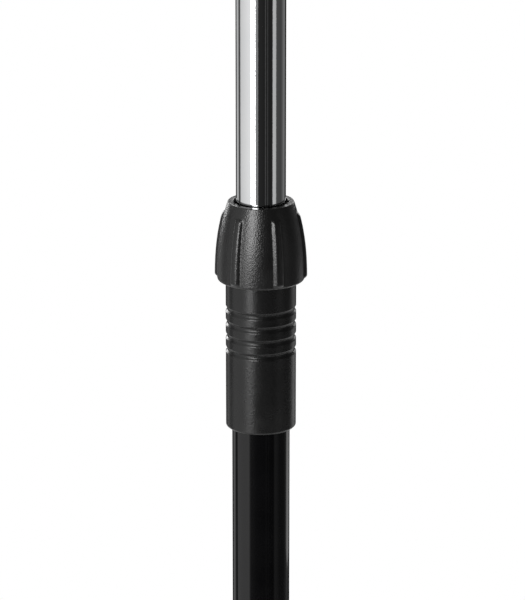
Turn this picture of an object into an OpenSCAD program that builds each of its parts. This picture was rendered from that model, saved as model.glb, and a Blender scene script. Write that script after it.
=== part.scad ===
// A music stand: a perforated steel desk on a tilting head, a two-part column with a
// twist-collar height clutch, and a tripod base whose legs fold up beside the column.
// Millimetres, +Z up. The reader stands on the -Y side. The origin is on the column's
// axis at floor level.

/* [Column] */
// Outside diameter of the black lower tube, over its paint
lower_tube_d = 25.8; // [25.4:0.1:26]
// Outside diameter of the chrome upper tube
upper_tube_d = 22; // [21.6:0.1:22]
// Wall thickness of the lower tube
lower_wall = 1.4; // [1.2:0.1:1.5]
// Wall thickness of the upper tube
upper_wall = 1.2; // [1:0.1:1.2]
// Length of the upper tube
upper_tube_len = 640; // [520:10:700]
// Height of the desk's tilt axis above the floor
pivot_z = 1045; // [1000:5:1090]

/* [Clutch] */
// Height of the twist collar's lower edge above the floor
collar_z = 658; // [600:2:700]
// Height of the twist collar
collar_h = 35.6; // [35:0.2:40]
// Diameter of the twist collar at its lower edge, between the ribs
collar_d = 38.7; // [38:0.1:42]
// Height to which the ribs stand proud of the collar at its lower edge
rib_proud = 1.2; // [0.6:0.05:1.4]
// Number of ribs around the collar
rib_count = 6; // [4:1:8]
// Outside diameter of the grooved sleeve
sleeve_d = 31.3; // [30.8:0.1:31.5]
// Length of the sleeve below the collar
sleeve_len = 68.4; // [60:0.2:80]
// Number of grooves around the sleeve
groove_count = 4; // [2:1:6]

/* [Desk] */
// Width of the desk
desk_w = 500; // [420:10:520]
// Height of the desk along its slope
desk_h = 340; // [300:10:360]
// Depth of the ledge that the music stands on
lip_depth = 55; // [40:5:70]
// Sheet thickness of the desk
sheet = 1.2; // [1:0.1:1.5]
// Lean of the desk back from upright
desk_lean = 22; // [15:1:30]
// Diameter of the holes in the desk
perforation_d = 12; // [8:1:14]

/* [Base] */
// Distance of each foot's middle from the column's axis
foot_reach = 292; // [260:2:320]
// Outside diameter of the leg tubes
leg_d = 16; // [14:0.5:16]
// Height of the leg hinges above the floor
hinge_z = 42; // [42:1:46]

/* [Hidden] */
$fn = 96;
running_gap = 0.05;
seat_gap = 0.02;
slide_gap = 0.1;

// Column
lower_r = lower_tube_d / 2;
lower_bore_r = lower_r - lower_wall;
upper_r = upper_tube_d / 2;
upper_bore_r = upper_r - upper_wall;
socket_bottom_z = 20;

upper_top_z = pivot_z - 37;
upper_bottom_z = upper_top_z - upper_tube_len;

// Clutch, heights from the collar's lower edge
tube_top = -8;
neck_r = 14;
neck_top = 16;
neck_foot = 2;
skirt_h = 2.5;
skirt_gap = 0.35;
collar_r = collar_d / 2;
collar_taper = 4.77;
taper_power = 2.5;
collar_mouth_r = 12.2;
collar_roof = 30.2;
edge_r = 1.2;
rim_edge_r = 0.6;
rib_width_deg = 13.6;
first_rib_deg = -66;
rib_foot = 1;
rib_fade = 28.6;
rib_top = 30.6;
groove_first = 13.4;
groove_pitch = 6.23;
groove_w = 2.5;
groove_floor_w = 1.3;
groove_depth = 0.65;
collet_foot = neck_top + 0.1;
collet_flange_h = 2;
collet_top = 30;
collet_r = 12.8;
collet_tip_r = 11.8;
collet_slits = 4;
slit_w = 1.5;
ring_foot = 20;
ring_r = 13.9;

// Head
head_drop = 34;
socket_depth = 30;
socket_r = 15;
tongue_half = 7;
tongue_r = 12;
disc_t = 1;
disc_r = 12;
bolt_r = 4;
bolt_bore_r = 4.05;
bolt_head_t = 5.3;
bolt_head_r = 7.5;
ear_t = 2.5;
ear_r = 13;
ear_x = tongue_half + disc_t;
web_half_w = 30;
web_half_h = 34;
web_t = 2.5;
desk_back = 24;
washer_t = 1.2;
washer_r = 8;
knob_r = 19;
knob_len = 20;
knob_lobes = 6;
knob_x = ear_x + ear_t + washer_t + 0.2;
insert_r = 6;
insert_len = 12;
head_pin_r = 2;
head_pin_z = pivot_z - head_drop - 14;

// Desk, in its own plane: x across, y back, z up the slope, the tilt axis at zero
desk_below = 150;
desk_above = desk_h - desk_below;
corner_r = 14;
rim_depth = 9;
bend_r = 4;
lip_turn_up = 12;
perforation_pitch = 34;
rivet_x = 22;
rivet_v = 24;
rivet_r = 2;
rivet_head_r = 4;
rivet_head_t = 1.6;

// Base
hinge_r = 38;
leg_sink = hinge_z - 15;
leg_len = sqrt(pow(foot_reach - hinge_r, 2) + pow(leg_sink, 2));
leg_slope = atan2(leg_sink, foot_reach - hinge_r);
leg_r = leg_d / 2;
leg_wall = 1.2;
leg_start = 17;
plug_len = 28;
knuckle_half = 6.2;
knuckle_r = 9;
leg_disc_t = 0.9;
cheek_in = 7.2;
cheek_t = 5;
cheek_r = 13;
leg_bolt_r = 3;
leg_bore_r = 3.05;
hub_r = 24;
hub_bottom = 12;
hub_deck = 54;
hub_top = 78;
hub_neck_r = 18;
foot_r = 11;
foot_pad_r = 12;
foot_ball_r = 13.5;
foot_cap_len = 34;
centre_foot_r = 22;
centre_plug_r = 10;
centre_plug_h = 5;
leg_angles = [-150, -30, 90];

// ---------- shared shapes ----------

// Points along an arc about (cx, cy), from angle a to angle b
function arc(cx, cy, r, a, b, steps = 8) =
    [for (i = [0:steps]) let (t = a + (b - a) * i / steps) [cx + r * cos(t), cy + r * sin(t)]];

module pipe(outer, inner, z0, z1) {
    rotate_extrude()
        polygon([[inner, z0], [outer, z0], [outer, z1], [inner, z1]]);
}

// A ring about the X axis, from x0 to x1
module ring_x(outer, inner, x0, x1) {
    rotate([0, 90, 0]) pipe(outer, inner, x0, x1);
}

module rod_x(r, x0, x1) {
    translate([x0, 0, 0]) rotate([0, 90, 0]) cylinder(r = r, h = x1 - x0);
}

// A ring about the Y axis, from y0 to y1
module ring_y(outer, inner, y0, y1) {
    rotate([-90, 0, 0]) pipe(outer, inner, y0, y1);
}

module rod_y(r, y0, y1) {
    translate([0, y0, 0]) rotate([-90, 0, 0]) cylinder(r = r, h = y1 - y0);
}

module rounded_rect(x0, y0, x1, y1, r) {
    translate([x0 + r, y0]) square([x1 - x0 - 2 * r, y1 - y0]);
    translate([x0, y0 + r]) square([x1 - x0, y1 - y0 - 2 * r]);
    for (x = [x0 + r, x1 - r], y = [y0 + r, y1 - r])
        translate([x, y]) circle(r = r);
}

// ---------- base ----------

// Places a leg piece: X runs outwards down the leg from its hinge
module at_leg(i) {
    rotate([0, 0, leg_angles[i]])
        translate([hinge_r, 0, hinge_z])
            rotate([0, leg_slope, 0])
                children();
}

module at_hinge(i) {
    rotate([0, 0, leg_angles[i]])
        translate([hinge_r, 0, hinge_z])
            children();
}

module centre_foot() {
    color("dimgray") {
        rotate_extrude()
            polygon(concat(
                [[0, 0], [centre_foot_r - 2, 0]],
                arc(centre_foot_r - 2, 2, 2, -90, 0),
                [[centre_foot_r, hub_bottom], [0, hub_bottom]]
            ));
        translate([0, 0, hub_bottom - 1])
            cylinder(r = centre_plug_r, h = centre_plug_h + 1);
    }
}

module hub_cheek(side) {
    y0 = side > 0 ? cheek_in : -cheek_in - cheek_t;
    rod_y(cheek_r, y0, y0 + cheek_t);
    translate([-hinge_r + lower_r + 4, y0, -cheek_r])
        cube([hinge_r - lower_r - 4, cheek_t, 2 * cheek_r]);
}

module base_hub() {
    color("black")
        difference() {
            union() {
                rotate_extrude()
                    polygon(concat(
                        [[0, hub_bottom], [hub_r - 2, hub_bottom]],
                        arc(hub_r - 2, hub_bottom + 2, 2, -90, 0),
                        arc(hub_r - 3, hub_deck - 3, 3, 0, 70),
                        [[hub_neck_r, hub_deck + 4]],
                        arc(hub_neck_r - 2, hub_top - 2, 2, 0, 90),
                        [[0, hub_top]]
                    ));
                for (i = [0:2]) {
                    at_hinge(i) hub_cheek(1);
                    at_hinge(i) hub_cheek(-1);
                    // The floor that stops the leg when it is down
                    at_leg(i)
                        translate([-hinge_r + hub_r - 4, -cheek_in - 1, -knuckle_r - 3.1])
                            cube([hinge_r - hub_r + 12, 2 * cheek_in + 2, 3]);
                }
            }
            translate([0, 0, socket_bottom_z])
                cylinder(r = lower_r + seat_gap, h = hub_top);
            cylinder(r = centre_plug_r + seat_gap, h = hub_bottom + centre_plug_h + 0.3);
            for (i = [0:2])
                at_hinge(i)
                    rod_y(leg_bore_r, -cheek_in - cheek_t - 1, cheek_in + cheek_t + 1);
            for (a = [-90, 30, 150])
                rotate([0, 0, a])
                    translate([0, 0, hub_top - 12])
                        rod_x(leg_bolt_r, 1, hub_neck_r + 2);
        }
}

module hub_grub_screws() {
    color("silver")
        for (a = [-90, 30, 150])
            rotate([0, 0, a])
                translate([0, 0, hub_top - 12])
                    difference() {
                        rod_x(leg_bolt_r - seat_gap, lower_r + seat_gap, hub_neck_r - 0.4);
                        translate([hub_neck_r - 3, 0, 0])
                            rotate([0, 90, 0]) cylinder(r = 1.7, h = 4, $fn = 6);
                    }
}

module leg_tube(i) {
    color("black")
        at_leg(i)
            ring_x(leg_r, leg_r - leg_wall, leg_start, leg_len - 4);
}

module leg_knuckle(i) {
    plug_r = leg_r - leg_wall - seat_gap;
    color("dimgray")
        at_leg(i)
            difference() {
                union() {
                    rod_y(knuckle_r, -knuckle_half, knuckle_half);
                    translate([0, -knuckle_half, -knuckle_r])
                        cube([leg_start - 2, 2 * knuckle_half, 2 * knuckle_r]);
                    rod_x(knuckle_r, leg_start - 3, leg_start);
                    rod_x(plug_r, leg_start - 1, leg_start + plug_len);
                }
                rod_y(leg_bore_r, -knuckle_half - 1, knuckle_half + 1);
            }
}

module leg_foot(i) {
    color("dimgray")
        difference() {
            union() {
                at_leg(i) {
                    ring_x(foot_r, leg_r, leg_len - foot_cap_len, leg_len);
                    rod_x(foot_r, leg_len - 4 + seat_gap, leg_len + 3);
                    translate([leg_len, 0, 0]) sphere(r = foot_ball_r);
                }
                rotate([0, 0, leg_angles[i]])
                    translate([foot_reach, 0, 0])
                        cylinder(r = foot_pad_r, h = hinge_z - leg_sink);
            }
            at_leg(i) rod_x(leg_r + seat_gap, 0, leg_len - 4 + seat_gap);
            translate([-500, -500, -50]) cube([1000, 1000, 50]);
        }
}

module leg_bolts() {
    head_y = cheek_in + cheek_t + 1.2;
    color("silver")
        for (i = [0:2])
            at_hinge(i) {
                rod_y(leg_bolt_r, -head_y, head_y + 7);
                rotate([90, 0, 0])
                    translate([0, 0, head_y]) cylinder(r = 5.77, h = 4, $fn = 6);
            }
}

module leg_lock_nuts() {
    nut_y = cheek_in + cheek_t + 1.2;
    color("silver")
        for (i = [0:2])
            at_hinge(i)
                difference() {
                    union() {
                        rotate([-90, 0, 0])
                            translate([0, 0, nut_y]) cylinder(r = 5.77, h = 4, $fn = 6);
                        ring_y(4.6, leg_bolt_r, nut_y + 3, nut_y + 5.6);
                    }
                    rod_y(leg_bolt_r + seat_gap, nut_y - 1, nut_y + 9);
                }
}

module leg_washers() {
    y0 = cheek_in + cheek_t;
    color("silver")
        for (i = [0:2], side = [-1, 1])
            at_hinge(i)
                ring_y(6, leg_bore_r, side > 0 ? y0 : -y0 - 1.15, side > 0 ? y0 + 1.15 : -y0);
}

module leg_friction_discs() {
    color("gray")
        for (i = [0:2], side = [-1, 1])
            at_hinge(i)
                translate([0, side * (knuckle_half + cheek_in) / 2, 0])
                    ring_y(knuckle_r - 0.5, leg_bore_r, -leg_disc_t / 2, leg_disc_t / 2);
}

// ---------- column ----------

module lower_tube() {
    color("black")
        pipe(lower_r, lower_bore_r, socket_bottom_z, collar_z + tube_top);
}

module upper_tube() {
    color("silver")
        difference() {
            pipe(upper_r, upper_bore_r, upper_bottom_z, upper_top_z);
            translate([0, 0, head_pin_z]) rod_y(head_pin_r, -upper_r - 1, upper_r + 1);
        }
}

// The plug in the upper tube's lower end, with a groove that holds the glide ring
module glide_plug() {
    z = upper_bottom_z;
    color("dimgray")
        rotate_extrude()
            polygon([
                [0, z - 22], [upper_r - 1, z - 22], [upper_r - 0.1, z - 21], [upper_r - 0.1, z - 19],
                [8.5, z - 19], [8.5, z - 3], [upper_r - 0.1, z - 3], [upper_r - 0.1, z],
                [upper_bore_r - seat_gap, z], [upper_bore_r - seat_gap, z + 24],
                [upper_bore_r - 1, z + 26], [0, z + 26]
            ]);
}

module glide_ring() {
    z = upper_bottom_z;
    color("white")
        difference() {
            pipe(lower_bore_r - running_gap, 8.6, z - 18.9, z - 3.1);
            translate([0, -1, z - 20]) cube([lower_r, 2, 20]);
        }
}

// ---------- clutch ----------

// Radius of the collar between its ribs, at height z above its lower edge
function collar_body_r(z) = collar_r - collar_taper * pow(max(0, z) / collar_h, taper_power);

// How far a rib stands proud at height z; it is a little lower near its top, where it slopes off
function rib_height(z) =
    rib_proud * (1 - 0.2 * z / rib_fade) * min(1, max(0, (rib_top - z) / (rib_top - rib_fade)));

module clutch_sleeve() {
    r = sleeve_d / 2;
    foot = -sleeve_len;
    color("black")
        translate([0, 0, collar_z])
            rotate_extrude()
                polygon(concat(
                    [[lower_r + seat_gap, foot]],
                    arc(r - edge_r, foot + edge_r, edge_r, -90, 0),
                    [for (i = [groove_count - 1:-1:0], p = [
                        [r, -groove_w / 2], [r - groove_depth, -groove_floor_w / 2],
                        [r - groove_depth, groove_floor_w / 2], [r, groove_w / 2]
                    ]) [p[0], p[1] - groove_first - i * groove_pitch]],
                    [
                        [r, neck_foot], [neck_r, neck_foot], [neck_r, neck_top],
                        [upper_r + slide_gap, neck_top], [upper_r + slide_gap, tube_top],
                        [lower_r + seat_gap, tube_top]
                    ]
                ));
}

module collet() {
    flange_top = collet_foot + collet_flange_h;
    color("ivory")
        translate([0, 0, collar_z])
            difference() {
                rotate_extrude()
                    polygon([
                        [upper_r + running_gap, collet_foot], [neck_r - 0.4, collet_foot],
                        [neck_r - 0.4, flange_top], [collet_r, flange_top],
                        [collet_tip_r, collet_top], [upper_r + running_gap, collet_top]
                    ]);
                for (i = [0:collet_slits - 1])
                    rotate([0, 0, 45 + i * 360 / collet_slits])
                        translate([0, -slit_w / 2, flange_top])
                            cube([neck_r, slit_w, collet_top]);
            }
}

// The non-turning ring whose cone closes the collet as the collar is screwed down
module compression_ring() {
    flange_top = collet_foot + collet_flange_h;
    slope = (collet_r - collet_tip_r) / (collet_top - flange_top);
    color("lightgray")
        translate([0, 0, collar_z])
            rotate_extrude()
                polygon([
                    [collet_r - slope * (ring_foot - flange_top) + running_gap, ring_foot],
                    [ring_r, ring_foot], [ring_r, collet_top],
                    [collet_tip_r + running_gap, collet_top]
                ]);
}

module twist_collar() {
    thread_r = neck_r + running_gap;
    skirt_r = sleeve_d / 2 + skirt_gap;
    rim_slope = atan(collar_taper * taper_power / collar_h);
    rim_z = collar_h - rim_edge_r;
    body_top = rim_z + rim_edge_r * sin(rim_slope);
    rim_r = collar_body_r(body_top) - rim_edge_r * cos(rim_slope);
    color("black")
        translate([0, 0, collar_z]) {
            rotate_extrude()
                polygon(concat(
                    [[skirt_r, 0]],
                    arc(collar_r - edge_r, edge_r, edge_r, -90, 0),
                    [for (i = [1:18])
                        let (z = edge_r + (body_top - edge_r) * i / 18)
                        [collar_body_r(z), z]],
                    arc(rim_r, rim_z, rim_edge_r, rim_slope + 10, 90, 4),
                    [
                        [collar_mouth_r + 0.4, collar_h], [collar_mouth_r, collar_h - 0.4],
                        [collar_mouth_r, collar_roof], [thread_r, collar_roof],
                        [thread_r, skirt_h], [skirt_r, skirt_h]
                    ]
                ));
            for (i = [0:rib_count - 1])
                rotate([0, 0, first_rib_deg + i * 360 / rib_count - rib_width_deg / 2])
                    rotate_extrude(angle = rib_width_deg)
                        polygon(concat(
                            [[collar_r - 1, rib_foot]],
                            [for (j = [0:20])
                                let (z = rib_foot + 0.8 + (rib_top - rib_foot - 0.8) * j / 20)
                                [collar_body_r(z) + rib_height(z), z]],
                            [for (j = [10:-1:0])
                                let (z = rib_foot + (rib_top - rib_foot) * j / 10)
                                [collar_body_r(z) - 0.5, z]]
                        ));
        }
}

// ---------- head ----------

module head_fitting() {
    socket_top = pivot_z - head_drop;
    color("black")
        difference() {
            union() {
                rotate_extrude()
                    polygon(concat(
                        [[0, socket_top - socket_depth], [socket_r - 1, socket_top - socket_depth]],
                        arc(socket_r - 1, socket_top - socket_depth + 1, 1, -90, 0),
                        arc(socket_r - 3, socket_top - 3, 3, 0, 90),
                        [[0, socket_top]]
                    ));
                translate([0, 0, pivot_z])
                    rod_x(tongue_r, -tongue_half, tongue_half);
                translate([-tongue_half, -tongue_r, socket_top - 1])
                    cube([2 * tongue_half, 2 * tongue_r, head_drop + 1]);
            }
            translate([0, 0, socket_top - socket_depth - 1])
                cylinder(r = upper_r + seat_gap, h = upper_top_z - socket_top + socket_depth + 1);
            translate([0, 0, pivot_z])
                rod_x(bolt_bore_r, -socket_r, socket_r);
            translate([0, 0, head_pin_z])
                rod_y(head_pin_r, -socket_r - 1, socket_r + 1);
        }
}

module head_pin() {
    color("silver")
        translate([0, 0, head_pin_z])
            difference() {
                rod_y(head_pin_r - seat_gap, -socket_r + 0.2, socket_r - 0.2);
                rod_x(0.6, -3, 3);
            }
}

module tilt_friction_discs() {
    color("gray")
        translate([0, 0, pivot_z])
            for (side = [-1, 1])
                translate([side * (tongue_half + disc_t / 2), 0, 0])
                    ring_x(disc_r, bolt_bore_r, -disc_t / 2 + seat_gap, disc_t / 2 - seat_gap);
}

// ---------- desk ----------

module at_desk() {
    translate([0, 0, pivot_z]) rotate([-desk_lean, 0, 0]) children();
}

module bracket_ear() {
    ear_reach = desk_back - web_t / 2;
    rotate([90, 0, 90])
        linear_extrude(ear_t) {
            circle(r = ear_r);
            polygon([
                [-ear_reach, -web_half_h + 6], [-ear_reach, web_half_h - 6],
                [ear_r * sin(60) - ear_r, ear_r], [3, ear_r - 0.4], [3, 0.4 - ear_r],
                [ear_r * sin(60) - ear_r, -ear_r]
            ]);
        }
}

module rivet_places() {
    for (x = [-rivet_x, rivet_x], v = [-rivet_v, rivet_v])
        translate([x, 0, v]) children();
}

module desk_bracket() {
    color("black")
        at_desk()
            difference() {
                union() {
                    translate([0, -desk_back + web_t, 0])
                        rotate([90, 0, 0])
                            linear_extrude(web_t)
                                rounded_rect(-web_half_w, -web_half_h, web_half_w, web_half_h, 6);
                    translate([ear_x, 0, 0]) bracket_ear();
                    translate([-ear_x - ear_t, 0, 0]) bracket_ear();
                }
                rod_x(bolt_bore_r, -ear_x - ear_t - 1, ear_x + ear_t + 1);
                rivet_places() rod_y(rivet_r, -desk_back - 1, -desk_back + web_t + 1);
            }
}

// The holes stay clear of the bracket, of the corners and of the ledge's bend
module perforations() {
    columns = floor((desk_w / 2 - 30) / perforation_pitch);
    rows = floor((desk_above - 30) / perforation_pitch);
    low_rows = floor((desk_below - 30) / perforation_pitch);
    for (c = [-columns:columns], k = [-low_rows:rows])
        if (abs(c) > 1 || abs(k) > 1)
            translate([c * perforation_pitch, k * perforation_pitch]) circle(d = perforation_d);
}

// The sheet's outline, seen from the side: up the back of the ledge, along it and up its front
module ledge_profile() {
    y0 = -desk_back - sheet;
    outer_r = bend_r + sheet;
    front = y0 - lip_depth;
    foot = -desk_below;
    polygon(concat(
        [[y0 + sheet, foot + outer_r + 2]],
        [[y0, foot + outer_r + 2]],
        arc(y0 - bend_r, foot + sheet + bend_r, bend_r, 0, -90),
        arc(front + sheet + bend_r, foot + sheet + bend_r, bend_r, 270, 180),
        [[front + sheet, foot + lip_turn_up]],
        arc(front + sheet / 2, foot + lip_turn_up, sheet / 2, 0, 180, 6),
        arc(front + outer_r, foot + outer_r, outer_r, 180, 270),
        arc(y0 + sheet - outer_r, foot + outer_r, outer_r, -90, 0)
    ));
}

module desk_panel() {
    half = desk_w / 2;
    y0 = -desk_back - sheet;
    foot = -desk_below + bend_r + sheet + 1;
    color("black")
        at_desk() {
            difference() {
                // The face and the stiffening rim that is turned back along the sides and the top
                translate([0, y0 + rim_depth, 0])
                    rotate([90, 0, 0])
                        linear_extrude(rim_depth)
                            difference() {
                                rounded_rect(-half, foot - 2 * corner_r, half, desk_above, corner_r);
                                translate([-half - 1, foot - 2 * corner_r - 1])
                                    square([desk_w + 2, 2 * corner_r + 1]);
                            }
                translate([0, y0 + rim_depth + 1, 0])
                    rotate([90, 0, 0])
                        linear_extrude(rim_depth + 1 - sheet)
                            rounded_rect(
                                -half + sheet, foot - 3 * corner_r, half - sheet,
                                desk_above - sheet, corner_r - sheet
                            );
                translate([0, y0 + sheet + 1, 0])
                    rotate([90, 0, 0])
                        linear_extrude(sheet + 2)
                            perforations();
                rivet_places() rod_y(rivet_r, y0 - 1, y0 + sheet + 1);
            }
            translate([-half, 0, 0])
                rotate([90, 0, 90])
                    linear_extrude(desk_w)
                        ledge_profile();
        }
}

module desk_rivets() {
    face = -desk_back - sheet;
    back = -desk_back + web_t;
    color("black")
        at_desk()
            rivet_places() {
                rod_y(rivet_r - seat_gap, face - 0.5, back + 0.5);
                rotate([90, 0, 0])
                    translate([0, 0, -face]) cylinder(r1 = rivet_head_r, r2 = 2.4, h = rivet_head_t);
                rotate([-90, 0, 0])
                    translate([0, 0, back]) cylinder(r1 = rivet_head_r - 0.5, r2 = 2.2, h = rivet_head_t);
            }
}

module tilt_bolt() {
    outer_x = ear_x + ear_t;
    color("silver")
        at_desk() {
            rod_x(bolt_r, -outer_x - 0.5, knob_x + insert_len - 1);
            translate([-outer_x, 0, 0])
                rotate([0, -90, 0]) cylinder(r = bolt_head_r, h = bolt_head_t, $fn = 6);
        }
}

module spring_washer() {
    x0 = ear_x + ear_t;
    color("silver")
        at_desk()
            ring_x(washer_r, bolt_bore_r, x0 + seat_gap, x0 + washer_t);
}

// A lobed knob on a round stem; its inside holds the threaded insert
module tilt_knob() {
    lobe_r = knob_r * 0.3;
    core_r = knob_r * 0.78;
    grip_x = knob_x + knob_len * 0.35;
    color("black")
        at_desk()
            difference() {
                union() {
                    rod_x(insert_r + 4, knob_x, grip_x + 1);
                    translate([grip_x, 0, 0])
                        rotate([0, 90, 0])
                            linear_extrude(knob_x + knob_len - grip_x) {
                                circle(r = core_r);
                                for (i = [0:knob_lobes - 1])
                                    rotate(i * 360 / knob_lobes)
                                        translate([knob_r - lobe_r, 0]) circle(r = lobe_r);
                            }
                }
                rod_x(insert_r + seat_gap, knob_x - 1, knob_x + insert_len + seat_gap);
            }
}

module knob_insert() {
    color("goldenrod")
        at_desk()
            ring_x(insert_r, bolt_r + running_gap, knob_x, knob_x + insert_len);
}

centre_foot();
base_hub();
hub_grub_screws();
lower_tube();
leg_tube(0);  // leg_tube_left
leg_tube(1);  // leg_tube_right
leg_tube(2);  // leg_tube_rear
leg_knuckle(0);  // leg_knuckle_left
leg_knuckle(1);  // leg_knuckle_right
leg_knuckle(2);  // leg_knuckle_rear
leg_foot(0);  // leg_foot_left
leg_foot(1);  // leg_foot_right
leg_foot(2);  // leg_foot_rear
leg_bolts();
leg_lock_nuts();
leg_washers();
leg_friction_discs();
clutch_sleeve();
collet();
compression_ring();
twist_collar();
glide_ring();
glide_plug();
upper_tube();
head_fitting();
head_pin();
tilt_friction_discs();
desk_bracket();
desk_panel();
desk_rivets();
tilt_bolt();
spring_washer();
tilt_knob();
knob_insert();
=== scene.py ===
import math

import bmesh
import bpy
from mathutils import Matrix, Vector


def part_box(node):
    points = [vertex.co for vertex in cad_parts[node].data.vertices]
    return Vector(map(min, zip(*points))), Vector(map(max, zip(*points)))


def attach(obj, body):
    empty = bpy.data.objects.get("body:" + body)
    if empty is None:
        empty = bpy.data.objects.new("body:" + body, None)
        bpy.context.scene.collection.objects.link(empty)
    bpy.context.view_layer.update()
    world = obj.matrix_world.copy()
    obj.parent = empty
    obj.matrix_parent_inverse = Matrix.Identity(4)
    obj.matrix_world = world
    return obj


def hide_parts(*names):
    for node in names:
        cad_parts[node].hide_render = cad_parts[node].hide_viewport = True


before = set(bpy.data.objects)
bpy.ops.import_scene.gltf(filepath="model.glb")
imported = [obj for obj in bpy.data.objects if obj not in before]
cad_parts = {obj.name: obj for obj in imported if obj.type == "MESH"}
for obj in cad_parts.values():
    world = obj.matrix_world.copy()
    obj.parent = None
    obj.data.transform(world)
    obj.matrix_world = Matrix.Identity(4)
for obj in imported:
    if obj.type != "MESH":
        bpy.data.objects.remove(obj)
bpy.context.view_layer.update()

MM = 0.001


# ---------- mesh helpers ----------

ROUND_STEPS = 192
SUPPORT_INSET = 0.15 * MM


def new_object(name, bm):
    """A linked object with the bmesh's geometry, its normals outward and its faces smooth."""
    bmesh.ops.recalc_face_normals(bm, faces=bm.faces)
    mesh = bpy.data.meshes.new(name)
    bm.to_mesh(mesh)
    bm.free()
    mesh.shade_smooth()
    piece = bpy.data.objects.new(name, mesh)
    bpy.context.scene.collection.objects.link(piece)
    return piece


def install(piece, body, slot, material, *nodes):
    """Gives a new piece its body and material, and hides the CAD nodes that it stands for. Its slot is not
    used.
    """
    piece.data.materials.append(material)
    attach(piece, body)
    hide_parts(*nodes)


def arc(cx, cy, radius, start, end, steps):
    """Points on an arc, in degrees."""
    angles = [math.radians(start + (end - start) * i / steps) for i in range(steps + 1)]
    return [(cx + radius * math.cos(a), cy + radius * math.sin(a)) for a in angles]


def rounded(corners, steps=5):
    """A closed outline with its corners rounded. A corner is (x, y, radius)."""
    outline = []
    for i, (x, y, radius) in enumerate(corners):
        here = Vector((x, y))
        if radius <= 0:
            outline.append((x, y))
            continue
        before = (Vector(corners[i - 1][:2]) - here).normalized()
        after = (Vector(corners[(i + 1) % len(corners)][:2]) - here).normalized()
        half = before.angle(after) / 2
        back = radius / math.tan(half)
        centre = here + (before + after).normalized() * radius / math.sin(half)
        start = here + before * back - centre
        end = here + after * back - centre
        turn = start.angle_signed(end)
        for k in range(steps + 1):
            point = centre + Matrix.Rotation(-turn * k / steps, 2) @ start
            outline.append((point.x, point.y))
    return outline


def supported(outline):
    """The outline with a point near both ends of each long straight, so that its normals stay straight."""
    points = []
    for i, start in enumerate(outline):
        points.append(start)
        a, b = Vector(start), Vector(outline[(i + 1) % len(outline)])
        length = (b - a).length
        if length > 8 * SUPPORT_INSET:
            share = SUPPORT_INSET / length
            points += [tuple(a.lerp(b, share)), tuple(b.lerp(a, share))]
    return points


def skin_rings(bm, rings):
    """Faces between successive rings of vertices, and from the last ring back to the first."""
    count = len(rings[0])
    for i in range(len(rings)):
        a, b = rings[i], rings[(i + 1) % len(rings)]
        for j in range(count):
            k = (j + 1) % count
            bm.faces.new((a[j], a[k], b[k], b[j]))


def lathe(name, outline):
    """Turns a closed outline of (radius, height), all of it off the axis, about the Z axis."""
    bm = bmesh.new()
    turns = [2 * math.pi * j / ROUND_STEPS for j in range(ROUND_STEPS)]
    skin_rings(bm, [
        [bm.verts.new((r * math.cos(t), r * math.sin(t), z)) for t in turns]
        for r, z in supported(outline)
    ])
    return new_object(name, bm)


# ---------- material helpers ----------

# The part of a noise's range that nearly all of it lies in
NOISE_SPAN = (0.3, 0.7)


class Graph:
    """A node tree, with short calls for the nodes used here."""

    def __init__(self, tree):
        self.tree = tree

    def add(self, kind, **settings):
        node = self.tree.nodes.new(kind)
        for key, value in settings.items():
            setattr(node, key, value)
        return node

    def link(self, a, b):
        self.tree.links.new(a, b)

    def maths(self, operation, a, b):
        """Two sockets or numbers, joined by a Math node."""
        node = self.add("ShaderNodeMath", operation=operation)
        for socket, value in zip(node.inputs, (a, b)):
            if isinstance(value, (int, float)):
                socket.default_value = value
            else:
                self.link(value, socket)
        return node.outputs["Value"]

    def spread(self, value, low, high, span=NOISE_SPAN):
        """The value's span, spread from low to high."""
        node = self.add("ShaderNodeMapRange")
        node.inputs["From Min"].default_value, node.inputs["From Max"].default_value = span
        node.inputs["To Min"].default_value = low
        node.inputs["To Max"].default_value = high
        self.link(value, node.inputs["Value"])
        return node.outputs["Result"]


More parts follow.
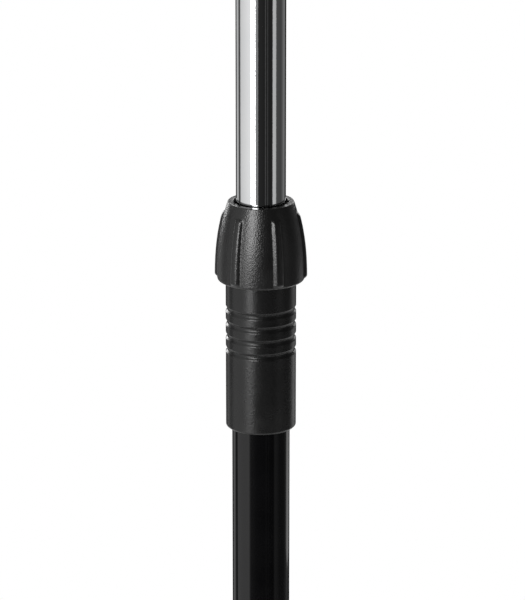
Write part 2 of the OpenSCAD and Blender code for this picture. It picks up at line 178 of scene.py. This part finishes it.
class Nodes(Graph):
    """A new material's node tree."""

    def __init__(self, name):
        self.material = bpy.data.materials.new(name)
        self.material.use_nodes = True
        super().__init__(self.material.node_tree)
        self.shader = self.tree.nodes["Principled BSDF"]
        self.place = self.add("ShaderNodeTexCoord").outputs["Object"]

    def stretched(self, scale):
        """The piece's own coordinates, scaled along each axis."""
        node = self.add("ShaderNodeMapping")
        node.inputs["Scale"].default_value = scale
        self.link(self.place, node.inputs["Vector"])
        return node.outputs["Vector"]

    def noise(self, size, detail, roughness, stretch=(1, 1, 1)):
        """Noise whose blobs are about size metres across."""
        node = self.add("ShaderNodeTexNoise")
        node.inputs["Scale"].default_value = 1 / size
        node.inputs["Detail"].default_value = detail
        node.inputs["Roughness"].default_value = roughness
        self.link(self.stretched(stretch), node.inputs["Vector"])
        return node.outputs["Fac"]

    def cells(self, size):
        """Distance to the middle of cells about size metres across."""
        node = self.add("ShaderNodeTexVoronoi", feature="SMOOTH_F1")
        node.inputs["Scale"].default_value = 1 / size
        node.inputs["Smoothness"].default_value = 0.6
        self.link(self.place, node.inputs["Vector"])
        return node.outputs["Distance"]

    def colours(self, value, a, b, span=NOISE_SPAN):
        """Two colours, mixed over the value's span."""
        node = self.add("ShaderNodeMix", data_type="RGBA")
        factor, colour_a, colour_b = node.inputs[0], node.inputs[6], node.inputs[7]
        self.link(self.spread(value, 0, 1, span), factor)
        colour_a.default_value = (*a, 1)
        colour_b.default_value = (*b, 1)
        return node.outputs[2]

    def soft_edges(self, radius):
        """The surface's normal, with its edges rounded by that radius in metres."""
        node = self.add("ShaderNodeBevel", samples=6)
        node.inputs["Radius"].default_value = radius
        return node.outputs["Normal"]

    def bump(self, height, depth, below=None):
        """A bump of that depth in metres, laid over another normal if one is given."""
        node = self.add("ShaderNodeBump")
        node.inputs["Distance"].default_value = depth
        self.link(height, node.inputs["Height"])
        if below is not None:
            self.link(below, node.inputs["Normal"])
        return node.outputs["Normal"]

    def set(self, **values):
        """Sets the shader's sockets: a number, a colour or another node's output."""
        for key, value in values.items():
            socket = self.shader.inputs[key.replace("_", " ").title()]
            if isinstance(value, bpy.types.NodeSocket):
                self.link(value, socket)
            elif isinstance(value, tuple):
                socket.default_value = (*value, 1)
            else:
                socket.default_value = value


def grey(level):
    return (level, level, level)


# ---------- materials ----------

def chrome():
    """Bright plate over drawn tube: faint draw lines along it and a slight orange peel."""
    n = Nodes("bright_chrome")
    lines = n.noise(0.9 * MM, detail=3, roughness=0.6, stretch=(1, 1, 0.004))
    peel = n.noise(1.1 * MM, detail=2, roughness=0.5)
    cloud = n.noise(20 * MM, detail=3, roughness=0.6)
    n.set(
        base_color=n.colours(cloud, (0.84, 0.85, 0.86), (0.88, 0.885, 0.89)),
        metallic=1.0,
        roughness=n.spread(lines, 0.03, 0.075),
        normal=n.bump(peel, 0.008 * MM, n.bump(lines, 0.0006 * MM)),
    )
    return n.material


def gloss_paint():
    """Gloss black powder coat: deep black under a clear skin, with a faint orange peel."""
    n = Nodes("gloss_black_paint")
    peel = n.noise(2.2 * MM, detail=2, roughness=0.45)
    cloud = n.noise(30 * MM, detail=4, roughness=0.6)
    n.set(
        base_color=n.colours(cloud, (0.0016, 0.0016, 0.0018), (0.003, 0.003, 0.0033)),
        roughness=n.spread(cloud, 0.05, 0.09),
        normal=n.bump(peel, 0.003 * MM),
    )
    return n.material


def eroded_plastic(name, shade, roughness, grain, depth, haze=0.0, edge=0.0):
    """Black nylon from a spark-eroded mould: fine pebbles, with a haze where light comes from behind."""
    n = Nodes(name)
    pebbles = n.cells(grain)
    fine = n.noise(grain * 0.35, detail=2, roughness=0.5)
    cloud = n.noise(12 * MM, detail=4, roughness=0.6)
    height = n.maths("ADD", pebbles, n.maths("MULTIPLY", fine, 0.35))
    tone = n.maths("ADD", n.maths("MULTIPLY", pebbles, 0.6), cloud)
    n.set(
        base_color=n.colours(tone, grey(shade * 0.8), grey(shade * 1.25), span=(0.4, 1.0)),
        roughness=n.spread(cloud, roughness - 0.03, roughness + 0.04),
        normal=n.bump(height, depth, n.soft_edges(edge) if edge else None),
        sheen_weight=haze,
        sheen_roughness=0.35,
    )
    return n.material


def powder_coat(name, shade, roughness, texture, depth, edge):
    """Black powder coat: a fine leathery texture over softly rounded edges."""
    n = Nodes(name)
    leather = n.cells(texture)
    ripple = n.noise(texture * 5, detail=2, roughness=0.5)
    cloud = n.noise(40 * MM, detail=4, roughness=0.6)
    height = n.maths("ADD", leather, n.maths("MULTIPLY", ripple, 1.5))
    n.set(
        base_color=n.colours(cloud, grey(shade * 0.85), grey(shade * 1.2)),
        roughness=n.spread(cloud, roughness - 0.04, roughness + 0.05),
        normal=n.bump(height, depth, n.soft_edges(edge)),
    )
    return n.material


def zinc_plate():
    """Bright zinc on turned and cold-headed steel, with the faint blue and straw tints of its passivation."""
    n = Nodes("bright_zinc_plate")
    marks = n.noise(0.5 * MM, detail=3, roughness=0.6, stretch=(1, 1, 6))
    cloud = n.noise(6 * MM, detail=3, roughness=0.6)
    n.set(
        base_color=n.colours(cloud, (0.56, 0.58, 0.62), (0.62, 0.60, 0.55), span=(0.35, 0.65)),
        metallic=1.0,
        roughness=n.spread(marks, 0.20, 0.34),
        normal=n.bump(marks, 0.004 * MM, n.soft_edges(0.25 * MM)),
    )
    return n.material


def turned_brass():
    """Brass with fine turning marks across its axis and a little tarnish."""
    n = Nodes("turned_brass")
    marks = n.noise(0.6 * MM, detail=2, roughness=0.5, stretch=(5, 1, 1))
    tarnish = n.noise(4 * MM, detail=4, roughness=0.6)
    n.set(
        base_color=n.colours(tarnish, (0.74, 0.56, 0.26), (0.52, 0.37, 0.17), span=(0.4, 0.75)),
        metallic=1.0,
        roughness=n.spread(tarnish, 0.18, 0.32),
        normal=n.bump(marks, 0.005 * MM, n.soft_edges(0.25 * MM)),
    )
    return n.material


def matte_rubber():
    """Moulded black rubber: matt, faintly grey with bloom and handling dust."""
    n = Nodes("matte_black_rubber")
    speckle = n.noise(0.4 * MM, detail=2, roughness=0.6)
    bloom = n.noise(9 * MM, detail=4, roughness=0.65)
    n.set(
        base_color=n.colours(bloom, (0.012, 0.012, 0.012), (0.024, 0.024, 0.023), span=(0.4, 0.75)),
        roughness=n.spread(bloom, 0.62, 0.8),
        normal=n.bump(speckle, 0.03 * MM, n.soft_edges(0.5 * MM)),
        sheen_weight=0.15,
        sheen_roughness=0.5,
    )
    return n.material


def natural_nylon():
    """Uncoloured moulded nylon: milky, slightly translucent, satin."""
    n = Nodes("natural_nylon")
    flow = n.noise(5 * MM, detail=3, roughness=0.6, stretch=(1, 1, 0.3))
    skin = n.noise(0.8 * MM, detail=2, roughness=0.5)
    n.set(
        base_color=n.colours(flow, (0.70, 0.68, 0.62), (0.78, 0.76, 0.70), span=(0.35, 0.65)),
        roughness=n.spread(flow, 0.36, 0.46),
        normal=n.bump(skin, 0.008 * MM, n.soft_edges(0.2 * MM)),
        subsurface_weight=0.12,
        subsurface_scale=2 * MM,
    )
    return n.material


def friction_fibre():
    """Pressed friction fibre: dark grey-brown, flecked, dry."""
    n = Nodes("friction_fibre")
    flecks = n.noise(0.7 * MM, detail=4, roughness=0.7)
    n.set(
        base_color=n.colours(flecks, (0.07, 0.062, 0.055), (0.17, 0.15, 0.13), span=(0.42, 0.62)),
        roughness=n.spread(flecks, 0.75, 0.9),
        normal=n.bump(flecks, 0.04 * MM, n.soft_edges(0.1 * MM)),
    )
    return n.material


MATERIALS = {
    "tube_chrome": chrome(),
    "tube_paint": gloss_paint(),
    "collar": eroded_plastic(
        "eroded_collar_nylon", shade=0.004, roughness=0.31, grain=0.65 * MM, depth=0.07 * MM, haze=0.1),
    "collar_rim": eroded_plastic(
        "smooth_rim_nylon", shade=0.005, roughness=0.26, grain=1.2 * MM, depth=0.004 * MM),
    "sleeve": eroded_plastic(
        "fine_sleeve_nylon", shade=0.004, roughness=0.27, grain=0.7 * MM, depth=0.04 * MM),
    "clutch_plastic": eroded_plastic(
        "plain_clutch_nylon", shade=0.006, roughness=0.32, grain=0.6 * MM, depth=0.01 * MM, edge=0.2 * MM),
    "knob_plastic": eroded_plastic(
        "eroded_knob_nylon", shade=0.007, roughness=0.36, grain=0.7 * MM, depth=0.05 * MM,
        haze=0.1, edge=0.5 * MM),
    "head_plastic": eroded_plastic(
        "eroded_head_nylon", shade=0.007, roughness=0.36, grain=0.7 * MM, depth=0.04 * MM,
        haze=0.1, edge=0.5 * MM),
    "knuckle_plastic": eroded_plastic(
        "satin_knuckle_nylon", shade=0.009, roughness=0.32, grain=0.9 * MM, depth=0.02 * MM,
        haze=0.05, edge=0.6 * MM),
    "desk_paint": powder_coat(
        "fine_texture_powder_coat", shade=0.009, roughness=0.46, texture=0.9 * MM, depth=0.05 * MM,
        edge=0.4 * MM),
    "cast_paint": powder_coat(
        "satin_paint_on_casting", shade=0.008, roughness=0.36, texture=1.6 * MM, depth=0.03 * MM,
        edge=0.9 * MM),
    "zinc_steel": zinc_plate(),
    "rubber": matte_rubber(),
    "nylon": natural_nylon(),
    "fibre": friction_fibre(),
    "brass": turned_brass(),
}


def finish_frame():
    """Every CAD node takes the procedural material of its slot."""
    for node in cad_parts.values():
        for held in node.material_slots:
            slot = held.material.name.split(".")[0]
            held.link = "OBJECT"
            held.material = MATERIALS[slot]


finish_frame()


# ---------- twist collar ----------

COLLAR_RADIUS = 19.35 * MM
COLLAR_TAPER = 4.77 * MM
TAPER_POWER = 2.5
COLLAR_EDGE = 0.9 * MM
MOUTH_RADIUS = 12.2 * MM
MOUTH_EDGE = 0.3 * MM
RIM_EDGE = 0.5 * MM
THREAD_RADIUS = 14.05 * MM
SKIRT_GAP = 0.35 * MM
SKIRT_HEIGHT = 2.5 * MM
SKIRT_EDGE = 0.3 * MM
ROOF_HEIGHT = 30.2 * MM
BODY_STEPS = 64

RIB_COUNT = 6
FIRST_RIB = math.radians(-66)
# Half a rib's width in degrees, and how far its crown is flattened
RIB_HALF = 8.4
RIB_ROUND = 1.6
RIB_PROUD = 1.22 * MM
# The share of its height that a rib loses up to where its top starts to round off
RIB_FADE = 0.2
# From where to where a rib's foot and top round off
RIB_FOOT = (1.1 * MM, 2.3 * MM)
RIB_TOP = (28.3 * MM, 30.7 * MM)
RIB_STEPS = 32
GAP_STEPS = 14


def quarter_round(share):
    """0 to 1 along a quarter circle."""
    share = max(0.0, min(1.0, share))
    return math.sqrt(1 - (1 - share) ** 2)


def rib_along(z):
    """A rib's height at height z: rounded off at its foot and its top, a little lower upwards."""
    foot = quarter_round((z - RIB_FOOT[0]) / (RIB_FOOT[1] - RIB_FOOT[0]))
    top = quarter_round((RIB_TOP[1] - z) / (RIB_TOP[1] - RIB_TOP[0]))
    return RIB_PROUD * (1 - RIB_FADE * z / RIB_TOP[0]) * foot * top


def rib_across(degrees):
    """A rib's share of its height, that far from its middle: a round crown that runs out into the body."""
    return (1 + math.cos(math.pi * min(1.0, abs(degrees) / RIB_HALF) ** RIB_ROUND)) / 2


def collar_angles():
    """Angles round the collar, close together over each rib, with how far each is from a rib's middle."""
    sector = 360 / RIB_COUNT
    across = [RIB_HALF * (2 * i / RIB_STEPS - 1) for i in range(RIB_STEPS + 1)]
    gap = sector - 2 * RIB_HALF
    between = [RIB_HALF + gap * k / GAP_STEPS for k in range(1, GAP_STEPS)]
    return [
        (FIRST_RIB + math.radians(i * sector + d), min(d, RIB_HALF))
        for i in range(RIB_COUNT) for d in across + between
    ]


def make_collar():
    """The collar: a domed body with ribs, a rounded rim, and inside it the mouth, thread wall and skirt."""
    low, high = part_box("twist_collar")
    foot, height = low.z, high.z - low.z
    skirt = sleeve_radius() + SKIRT_GAP

    def body_radius(z):
        return COLLAR_RADIUS - COLLAR_TAPER * (z / height) ** TAPER_POWER

    def plain(points):
        return [(r, z, 0) for r, z in points]

    def ribbed(points):
        return [(r, z, 1) for r, z in points]

    # The outline: each point is (radius, height, share of the rib's height that it takes)
    lean = math.atan(COLLAR_TAPER * TAPER_POWER / height)
    body_top = height - RIM_EDGE * (1 - math.sin(lean))
    rim = body_radius(body_top) - RIM_EDGE * math.cos(lean)
    stations = [COLLAR_EDGE + (body_top - COLLAR_EDGE) * i / BODY_STEPS for i in range(1, BODY_STEPS + 1)]
    outline = plain(arc(skirt + SKIRT_EDGE, SKIRT_EDGE, SKIRT_EDGE, 180, 270, 3))
    outline += ribbed(arc(COLLAR_RADIUS - COLLAR_EDGE, COLLAR_EDGE, COLLAR_EDGE, -90, 0, 8))
    outline += ribbed([(body_radius(z), z) for z in stations])
    outline += plain(arc(rim, height - RIM_EDGE, RIM_EDGE, math.degrees(lean), 90, 6)[1:])
    rim_ring = len(outline) - 1
    outline += plain(arc(MOUTH_RADIUS + MOUTH_EDGE, height - MOUTH_EDGE, MOUTH_EDGE, 90, 180, 5))
    mouth_ring = len(outline) - 1
    outline += plain([
        (MOUTH_RADIUS, ROOF_HEIGHT), (THREAD_RADIUS, ROOF_HEIGHT),
        (THREAD_RADIUS, SKIRT_HEIGHT), (skirt, SKIRT_HEIGHT),
    ])

    bm = bmesh.new()
    angles = collar_angles()
    rings = []
    for r, z, share in outline:
        rib = share * rib_along(z)
        ring = []
        for angle, off in angles:
            radius = r + rib * rib_across(off)
            ring.append(bm.verts.new((radius * math.cos(angle), radius * math.sin(angle), foot + z)))
        rings.append(ring)
    skin_rings(bm, rings)
    # The top of the rim and the mouth's edge are smooth, without the mould's grain
    bm.faces.ensure_lookup_table()
    for face in bm.faces[rim_ring * len(angles):mouth_ring * len(angles)]:
        face.material_index = 1
    piece = new_object("ribbed_collar", bm)
    install(piece, "collar", "clutch_plastic", MATERIALS["collar"], "twist_collar")
    piece.data.materials.append(MATERIALS["collar_rim"])


# ---------- clutch sleeve and column tubes ----------

SLEEVE_EDGE = 0.9 * MM
SEAT_EDGE = 0.25 * MM
SHOULDER_EDGE = 0.3 * MM
NECK_RADIUS = 14 * MM
NECK_FOOT = 2 * MM
GUIDE_GAP = 0.1 * MM
SEAT_GAP = 0.02 * MM
GROOVES = 4
FIRST_GROOVE = 13.4 * MM
GROOVE_PITCH = 6.23 * MM
GROOVE_WIDTH = 2.9 * MM
GROOVE_FLOOR = 0.9 * MM
GROOVE_DEPTH = 0.7 * MM
GROOVE_EDGE = 0.45 * MM

TUBE_EDGE = 0.25 * MM
UPPER_WALL = 1.2 * MM
LOWER_WALL = 1.4 * MM


def sleeve_radius():
    low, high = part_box("clutch_sleeve")
    return (high.x - low.x) / 2


def make_sleeve():
    """The sleeve: a grooved grip over the lower tube's end, with a neck that runs up inside the collar."""
    low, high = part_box("clutch_sleeve")
    collar_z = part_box("twist_collar")[0].z
    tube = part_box("lower_tube")[1]
    outer = sleeve_radius()
    seat, guide = tube.x + SEAT_GAP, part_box("upper_tube")[1].x + GUIDE_GAP
    corners = [(seat, low.z, SEAT_EDGE), (outer, low.z, SLEEVE_EDGE)]
    for i in reversed(range(GROOVES)):
        middle = collar_z - FIRST_GROOVE - i * GROOVE_PITCH
        corners += [
            (outer, middle - GROOVE_WIDTH / 2, GROOVE_EDGE),
            (outer - GROOVE_DEPTH, middle - GROOVE_FLOOR / 2, GROOVE_EDGE),
            (outer - GROOVE_DEPTH, middle + GROOVE_FLOOR / 2, GROOVE_EDGE),
            (outer, middle + GROOVE_WIDTH / 2, GROOVE_EDGE),
        ]
    shoulder = collar_z + NECK_FOOT
    corners += [
        (outer, shoulder, SHOULDER_EDGE), (NECK_RADIUS, shoulder, 0), (NECK_RADIUS, high.z, 0),
        (guide, high.z, 0), (guide, tube.z, 0), (seat, tube.z, 0),
    ]
    piece = lathe("grooved_sleeve", rounded(corners))
    install(piece, "base", "clutch_plastic", MATERIALS["sleeve"], "clutch_sleeve")


def make_tube(name, node, body, slot, wall):
    """A round tube with broken edges, as long and as wide as its CAD node."""
    low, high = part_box(node)
    outer = (high.x - low.x) / 2
    inner = outer - wall
    corners = [
        (inner, low.z, TUBE_EDGE), (outer, low.z, TUBE_EDGE),
        (outer, high.z, TUBE_EDGE), (inner, high.z, TUBE_EDGE),
    ]
    install(lathe(name, rounded(corners, 3)), body, slot, MATERIALS[slot], node)


make_collar()
make_sleeve()
make_tube("chrome_upper_tube", "upper_tube", "mast", "tube_chrome", UPPER_WALL)
make_tube("painted_lower_tube", "lower_tube", "base", "tube_paint", LOWER_WALL)


# ---------- castings and mouldings ----------

def moulded(name, node, body, slot, voxel, passes):
    """A CAD node's shape as it leaves a mould or die: its edges rounded and its inside corners filleted."""
    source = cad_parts[node]
    piece = bpy.data.objects.new(name, source.data.copy())
    bpy.context.scene.collection.objects.link(piece)
    remesh = piece.modifiers.new("remesh", "REMESH")
    remesh.mode = "VOXEL"
    remesh.voxel_size = voxel
    smooth = piece.modifiers.new("smooth", "SMOOTH")
    smooth.factor = 0.5
    smooth.iterations = passes
    depsgraph = bpy.context.evaluated_depsgraph_get()
    mesh = bpy.data.meshes.new_from_object(piece.evaluated_get(depsgraph))
    piece.modifiers.clear()
    piece.data = mesh
    mesh.materials.clear()
    mesh.shade_smooth()
    install(piece, body, slot, MATERIALS[slot], node)


for side in ("left", "right", "rear"):
    leg = "leg_" + side
    moulded("moulded_foot_" + side, "leg_foot_" + side, leg, "rubber", voxel=0.45 * MM, passes=14)
    moulded(
        "moulded_knuckle_" + side, "leg_knuckle_" + side, leg, "knuckle_plastic", voxel=0.5 * MM, passes=6)
moulded("moulded_centre_foot", "centre_foot", "base", "rubber", voxel=0.5 * MM, passes=12)
moulded("cast_hub", "base_hub", "base", "cast_paint", voxel=0.8 * MM, passes=8)
moulded("moulded_head", "head_fitting", "mast", "head_plastic", voxel=0.6 * MM, passes=8)
moulded("moulded_knob", "tilt_knob", "knob", "knob_plastic", voxel=0.5 * MM, passes=8)


# ---------- camera ----------

ELEVATION = math.radians(17.3)
CAMERA_DISTANCE = 1.42
LENS = 192
FILM_WIDTH = 36
# The point that the camera looks at, from the axis and from the collar's foot
AIM_RIGHT = 0.7 * MM
AIM_BELOW = 10.1 * MM


def make_camera():
    """A long lens on the clutch, a little above it, looking along +Y."""
    target = Vector((AIM_RIGHT, 0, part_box("twist_collar")[0].z - AIM_BELOW))
    back = Vector((0, -math.cos(ELEVATION), math.sin(ELEVATION)))
    data = bpy.data.cameras.new("camera")
    data.lens = LENS
    data.sensor_width = FILM_WIDTH
    camera = bpy.data.objects.new("camera", data)
    camera.location = target + back * CAMERA_DISTANCE
    camera.rotation_mode = "QUATERNION"
    camera.rotation_quaternion = (-back).to_track_quat("-Z", "Y")
    bpy.context.scene.collection.objects.link(camera)
    bpy.context.scene.camera = camera


# ---------- studio ----------

# What the tubes mirror: (degrees round from the camera's side, + to the right, brightness)
STUDIO_WALLS = [
    (-180, 0.04), (-148, 0.03), (-142, 0.50), (-126, 0.40), (-120, 0.06), (-111, 0.05),
    (-105, 0.62), (-49, 0.84), (-45, 0.25), (-40, 0.09), (-20, 0.03), (-8, 0.02),
    (18, 0.015), (21, 0.075), (24, 0.015), (28, 0.015), (31, 0.06), (34, 0.015),
    (52, 0.015), (57, 0.15), (64, 0.15), (77, 0.08), (80, 0.06), (106, 0.055),
    (137, 0.20), (143, 0.015), (180, 0.03),
]
# Upright lights: name, degrees as above, distance, foot, top, width, radiance
PANELS = [
    ("low_reflector", -36, 1.3, 0.2, 0.57, 0.47, 4.0),
    ("low_card_front", -18, 0.35, 0.59, 0.72, 0.07, 0.2),
    ("low_card_right", 136, 1.3, 0.0, 0.26, 0.65, 0.6),
    ("rim_left", -149, 1.3, 0.53, 0.95, 0.3, 6.5),
    ("rim_right", 158, 1.3, 0.6, 1.2, 0.6, 2.5),
    ("low_strip_right", 64, 0.35, 0.59, 0.72, 0.11, 0.33),
    ("key_softbox", -27, 1.3, 0.58, 1.6, 0.5, 12.0),
    ("rear_softbox", -172, 1.6, 1.35, 2.15, 1.0, 5.0),
]
OVERHEAD_HEIGHT = 2.6
OVERHEAD_SIZE = 2.4
OVERHEAD_RADIANCE = 0.4
FLOOR_RADIUS = 1.15
FLOOR_SHADE = 0.86
FLOOR_GLOW = 0.35
# From where to where the floor fades out into white
FLOOR_FADE = (0.3, 0.95)


def make_world():
    """White to the camera; to mirrors and to the light, a ring of light and dark studio walls."""
    world = bpy.data.worlds.new("studio")
    bpy.context.scene.world = world
    world.use_nodes = True
    world.node_tree.nodes.clear()
    g = Graph(world.node_tree)

    split = g.add("ShaderNodeSeparateXYZ")
    g.link(g.add("ShaderNodeTexCoord").outputs["Generated"], split.inputs[0])
    front = g.maths("MULTIPLY", split.outputs["Y"], -1)
    angle = g.maths("ARCTAN2", split.outputs["X"], front)
    ramp = g.add("ShaderNodeValToRGB")
    g.link(g.spread(angle, 0, 1, span=(-math.pi, math.pi)), ramp.inputs[0])
    stops = ramp.color_ramp.elements
    while len(stops) < len(STUDIO_WALLS):
        stops.new(0.5)
    for stop, (degrees, level) in zip(stops, STUDIO_WALLS):
        stop.position = (degrees + 180) / 360
        stop.color = (*grey(level), 1)

    walls = g.add("ShaderNodeBackground")
    g.link(ramp.outputs[0], walls.inputs["Color"])
    white = g.add("ShaderNodeBackground")
    white.inputs["Color"].default_value = (1, 1, 1, 1)
    mix = g.add("ShaderNodeMixShader")
    g.link(g.add("ShaderNodeLightPath").outputs["Is Camera Ray"], mix.inputs[0])
    g.link(walls.outputs[0], mix.inputs[1])
    g.link(white.outputs[0], mix.inputs[2])
    g.link(mix.outputs[0], g.add("ShaderNodeOutputWorld").inputs["Surface"])


def add_lamp(data, location, area, radiance):
    """Hangs an area light that the camera doesn't see."""
    data.energy = radiance * math.pi * area
    lamp = bpy.data.objects.new(data.name, data)
    lamp.location = location
    lamp.visible_camera = False
    bpy.context.scene.collection.objects.link(lamp)
    return lamp


def make_panel(name, degrees, distance, foot, top, width, radiance):
    """An upright soft light that faces the column."""
    angle = math.radians(degrees)
    data = bpy.data.lights.new(name, "AREA")
    data.shape = "RECTANGLE"
    data.size, data.size_y = width, top - foot
    out = Vector((math.sin(angle), -math.cos(angle), 0)) * distance
    lamp = add_lamp(data, out + Vector((0, 0, (foot + top) / 2)), width * (top - foot), radiance)
    lamp.rotation_mode = "QUATERNION"
    lamp.rotation_quaternion = (-out).to_track_quat("-Z", "Y")


def make_overhead():
    """A large round soft light above the stand, facing down."""
    data = bpy.data.lights.new("overhead_softbox", "AREA")
    data.shape = "DISK"
    data.size = OVERHEAD_SIZE
    area = math.pi * OVERHEAD_SIZE ** 2 / 4
    add_lamp(data, (0, 0, OVERHEAD_HEIGHT), area, OVERHEAD_RADIANCE)


def make_floor():
    """A pale floor that runs out to the backdrop's white."""
    bm = bmesh.new()
    bmesh.ops.create_circle(bm, cap_ends=True, radius=FLOOR_RADIUS, segments=128)
    floor = new_object("pale_floor", bm)
    n = Nodes("pale_floor")
    n.set(base_color=grey(FLOOR_SHADE), roughness=0.9)
    length = n.add("ShaderNodeVectorMath", operation="LENGTH")
    n.link(n.place, length.inputs[0])
    glow = n.add("ShaderNodeEmission")
    mix = n.add("ShaderNodeMixShader")
    n.link(n.spread(length.outputs["Value"], FLOOR_GLOW, 1.0, span=FLOOR_FADE), mix.inputs[0])
    n.link(n.shader.outputs[0], mix.inputs[1])
    n.link(glow.outputs[0], mix.inputs[2])
    n.link(mix.outputs[0], n.tree.nodes["Material Output"].inputs["Surface"])
    floor.data.materials.append(n.material)


make_camera()
make_world()
for panel in PANELS:
    make_panel(*panel)
make_overhead()
make_floor()
bpy.context.scene.view_settings.view_transform = "Standard"
